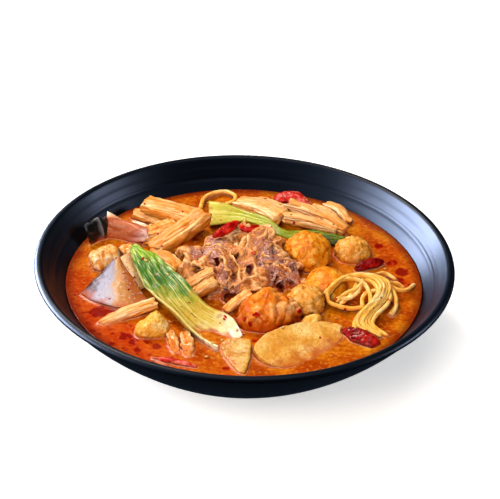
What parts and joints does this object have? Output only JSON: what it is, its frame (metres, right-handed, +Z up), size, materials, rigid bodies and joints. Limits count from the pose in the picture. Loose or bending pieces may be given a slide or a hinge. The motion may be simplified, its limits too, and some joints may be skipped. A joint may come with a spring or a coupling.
{
  "type": "malatang",
  "caption": "Wide black bowl of red chilli broth with sliced beef, noodles, bean curd sticks, leafy greens, fish balls, fish cake and chillies standing out of the broth.",
  "frame": {"origin": "middle of the foot ring's underside, on the table", "axes": "+Z up, -Y towards the near side shown, +X to the right"},
  "size_m": [0.24, 0.24, 0.0666],
  "materials": {
    "melamine": "black melamine, low sheen",
    "broth": "red chilli broth with oil on top, wet",
    "beef": "boiled sliced beef, wet",
    "noodle": "boiled wheat noodle, wet",
    "bean_curd_stick": "soaked dried bean curd, moist",
    "fish_ball": "fried fish ball and wheat gluten, moist",
    "fish_cake": "fish cake, moist",
    "pouch": "fried bean curd skin soaked with broth",
    "greens": "boiled leafy greens, wet",
    "glass_sheet": "translucent starch sheet, wet",
    "ham": "luncheon ham, wet",
    "wood_ear": "wood ear fungus, wet",
    "chilli": "dried red chilli, wet with oil"
  },
  "bodies": {
    "root": {"beef": "beef", "bowl": "melamine", "broth": "broth", "cabbage_strip_left": "bean_curd_stick", "cabbage_strip_right": "bean_curd_stick", "chilli_back": "chilli", "chilli_front_left": "chilli", "chilli_front_right": "chilli", "chilli_right": "chilli", "chilli_top": "chilli", "chilli_top_bent": "chilli", "curd_shreds": "bean_curd_stick", "curd_stick_back_left": "bean_curd_stick", "curd_stick_back_middle": "bean_curd_stick", "curd_stick_back_thin": "bean_curd_stick", "curd_stick_centre_back": "bean_curd_stick", "curd_stick_centre_front": "bean_curd_stick", "curd_stick_diagonal": "bean_curd_stick", "curd_stick_far_left": "bean_curd_stick", "curd_stick_far_right": "bean_curd_stick", "curd_stick_front_left": "bean_curd_stick", "curd_stick_lower_left": "bean_curd_stick", "curd_stick_right_lower": "bean_curd_stick", "curd_stick_right_upper": "bean_curd_stick", "curd_strip_centre": "pouch", "curd_wrinkled": "bean_curd_stick", "fish_ball_back": "fish_ball", "fish_ball_front": "fish_ball", "fish_ball_middle": "fish_ball", "fish_ball_right": "fish_ball", "fish_cake_large": "fish_cake", "fish_cake_small": "fish_cake", "fried_gluten_back": "fish_ball", "fried_gluten_left": "fish_ball", "fried_puff_front": "fish_ball", "fried_puff_right": "fish_ball", "glass_sheet_back": "glass_sheet", "glass_sheet_front": "glass_sheet", "greens_back": "greens", "greens_front": "greens", "ham_slice": "ham", "ham_strip": "ham", "noodle_back": "noodle", "noodles": "noodle", "tofu_pouch": "pouch", "wood_ear": "wood_ear"}
  },
  "joints": []
}
